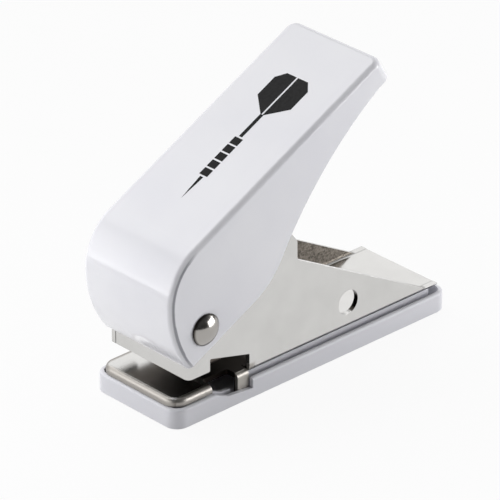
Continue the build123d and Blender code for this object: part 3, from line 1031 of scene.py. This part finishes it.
@dataclass(frozen=True)
class Softbox:
    """A flat lamp that looks at the tool from a direction and a distance.

    The azimuth counts in degrees from the X axis towards the Y axis. The light
    fades between the top and bottom edges by the share that it keeps there.
    """

    name: str
    azimuth: float
    elevation: float
    distance: float
    width: float
    height: float
    radiance: float
    top_share: float = 1.0
    bottom_share: float = 1.0

    def place(self, centre: Vector) -> None:
        """Hang the softbox and aim it at the tool.

        Args:
            centre: The point that it looks at.
        """
        turn, lift = math.radians(self.azimuth), math.radians(self.elevation)
        level = math.cos(lift)
        away = Vector((math.cos(turn) * level, math.sin(turn) * level, math.sin(lift)))
        lamp = bpy.data.lights.new(self.name, "AREA")
        lamp.shape = "RECTANGLE"
        lamp.size = self.width
        lamp.size_y = self.height
        lamp.energy = self.radiance * math.pi * self.width * self.height
        if self.top_share != self.bottom_share:
            self.fade(lamp)
        holder = put(self.name, lamp)
        holder.location = centre + away * self.distance
        holder.visible_camera = False
        holder.rotation_euler = away.to_track_quat("Z", "Y").to_euler()
        LOG.info("%s: radiance %.2f", self.name, self.radiance)

    def fade(self, lamp: bpy.types.Light) -> None:
        """Let the lamp's light fade from one edge to the other.

        Args:
            lamp: The lamp that fades.
        """
        lamp.use_nodes = True
        tree = lamp.node_tree
        where = add_node(tree, "ShaderNodeNewGeometry")
        parts = add_node(
            tree, "ShaderNodeSeparateXYZ", inputs={"Vector": where.outputs["Parametric"]}
        )
        shares = (self.bottom_share, self.top_share)
        strength = ramp(tree, parts.outputs["Y"], RISING, shares)
        tree.links.new(strength, tree.nodes["Emission"].inputs["Strength"])


@dataclass(frozen=True)
class Studio:
    """White light table, dim room and softboxes.

    The table lies a hair under the tool. It shows as plain white to the camera and
    in reflections, and keeps the tool's faint shadow. The room is darkest towards
    one side, right of the camera, which leaves the rounded shoulder of the handle
    darker than the faces beside it, and it is dimmer near the floor.
    """

    table_size: float = 8.0
    table_colour: str = "#DFDFDF"
    table_roughness: float = 0.9
    table_drop: float = 0.00005
    table_glow: float = 0.92
    dark_azimuth: float = -20.0
    room_bright: float = 1.25
    room_dark: float = 0.08
    room_span: Point = (-0.8, 0.5)
    wall_span: Point = (0.0, 0.48)
    wall_share: float = 0.4
    aim_height: float = 0.04
    softboxes: tuple[Softbox, ...] = (
        Softbox(
            "key_softbox_front_left",
            azimuth=-118,
            elevation=16,
            distance=0.2,
            width=0.12,
            height=0.16,
            radiance=2.8,
            top_share=0.1,
        ),
        Softbox(
            "fill_softbox_front",
            azimuth=-92,
            elevation=12,
            distance=0.6,
            width=0.3,
            height=0.24,
            radiance=2.4,
        ),
        Softbox(
            "top_softbox_left",
            azimuth=-172,
            elevation=50,
            distance=1.0,
            width=0.6,
            height=0.9,
            radiance=3.2,
            bottom_share=0.0,
        ),
        Softbox(
            "rim_softbox_back_right",
            azimuth=44,
            elevation=8.5,
            distance=0.45,
            width=0.36,
            height=0.2,
            radiance=5.8,
        ),
    )

    def lay_table(self) -> None:
        """Lay the white table top, which shows as plain white but keeps a shadow."""
        half = self.table_size / 2
        mesh = bpy.data.meshes.new("table_top")
        low = -self.table_drop
        outline = ((-half, -half), (half, -half), (half, half), (-half, half))
        mesh.from_pydata([(*corner, low) for corner in outline], [], [(0, 1, 2, 3)])
        put("table_top", mesh)
        material = bpy.data.materials.new("white_frosted_acrylic_table")
        material.use_nodes = True
        tree = material.node_tree
        surface = tree.nodes["Principled BSDF"]
        surface.inputs["Base Color"].default_value = linear(self.table_colour)
        surface.inputs["Roughness"].default_value = self.table_roughness
        surface.inputs["Specular IOR Level"].default_value = 0.0
        white = add_node(
            tree, "ShaderNodeEmission", inputs={"Color": (1, 1, 1, 1), "Strength": 1.0}
        )
        path = add_node(tree, "ShaderNodeLightPath")
        clear = greater(tree, path.outputs["Is Glossy Ray"], path.outputs["Is Transmission Ray"])
        seen = greater(tree, path.outputs["Is Camera Ray"], clear)
        share = product(tree, seen, self.table_glow)
        mixed = add_node(
            tree,
            "ShaderNodeMixShader",
            inputs={0: share, 1: surface.outputs["BSDF"], 2: white.outputs["Emission"]},
        )
        tree.links.new(mixed.outputs["Shader"], tree.nodes["Material Output"].inputs["Surface"])
        mesh.materials.append(material)

    def light_room(self) -> None:
        """Light the room, dark towards one side and dim near the floor."""
        world = bpy.data.worlds.new("studio_room")
        bpy.context.scene.world = world
        world.use_nodes = True
        tree = world.node_tree
        towards = add_node(tree, "ShaderNodeTexCoord")
        turn = math.radians(self.dark_azimuth)
        facing = add_node(
            tree,
            "ShaderNodeVectorMath",
            {"operation": "DOT_PRODUCT"},
            {0: towards.outputs["Generated"], 1: (math.cos(turn), math.sin(turn), 0)},
        )
        brightness = (self.room_bright, self.room_dark)
        level = ramp(tree, facing.outputs["Value"], self.room_span, brightness)
        parts = add_node(
            tree, "ShaderNodeSeparateXYZ", inputs={"Vector": towards.outputs["Generated"]}
        )
        raised = ramp(tree, parts.outputs["Z"], self.wall_span, (self.wall_share, 1))
        strength = product(tree, level, raised)
        tree.links.new(strength, tree.nodes["Background"].inputs["Strength"])
        tree.nodes["Background"].inputs["Color"].default_value = (1, 1, 1, 1)

    def build(self) -> None:
        """Set up the table, the room and the lamps."""
        self.lay_table()
        self.light_room()
        for softbox in self.softboxes:
            softbox.place(Vector((0, 0, self.aim_height)))


@dataclass(frozen=True)
class PhotoCamera:
    """The photograph's camera, fitted to the edges of tray, frame and handle.

    The azimuth counts in degrees from the tool's front towards the X axis. The
    tool's middle lies a little off the middle of the picture, by the two offsets.
    """

    target_mm: Size = (0.0, -2.5, 30.0)
    azimuth: float = 46.918
    elevation: float = 27.629
    distance_mm: float = 1250.4
    focal_px: float = 4500.0
    picture_px: float = 500.0
    offset_right_mm: float = 4.849
    offset_up_mm: float = -1.576
    sensor_mm: float = 36.0
    clip_start: float = 0.05
    clip_end: float = 50.0

    def build(self) -> None:
        """Create the camera and make it the scene's."""
        turn, lift = math.radians(self.azimuth), math.radians(self.elevation)
        level = math.cos(lift)
        back = Vector((math.sin(turn) * level, -math.cos(turn) * level, math.sin(lift)))
        right = Vector((math.cos(turn), math.sin(turn), 0))
        above = back.cross(right)
        place = Vector(self.target_mm) + back * self.distance_mm
        place -= right * self.offset_right_mm + above * self.offset_up_mm
        lens = bpy.data.cameras.new("photo_camera")
        lens.sensor_fit = "HORIZONTAL"
        lens.sensor_width = self.sensor_mm
        lens.lens = self.focal_px * self.sensor_mm / self.picture_px
        lens.clip_start = self.clip_start
        lens.clip_end = self.clip_end
        camera = put("photo_camera", lens)
        turned = Matrix((right, above, back)).transposed().to_4x4()
        camera.matrix_world = Matrix.Translation(place * MM) @ turned
        bpy.context.scene.camera = camera
        LOG.info("photo_camera: lens %.0f mm", lens.lens)


def main() -> None:
    """Build the punch's looks and its studio in order."""
    logging.basicConfig(level=logging.INFO, format="%(name)s: %(message)s")
    bpy.context.scene.view_settings.view_transform = "Standard"
    PhotoCamera().build()
    ChipTray().dress()
    FoldedFrame().build()
    PunchAndDie().build()
    PressedHandle().build()
    Studio().build()


if __name__ == "__main__":
    main()
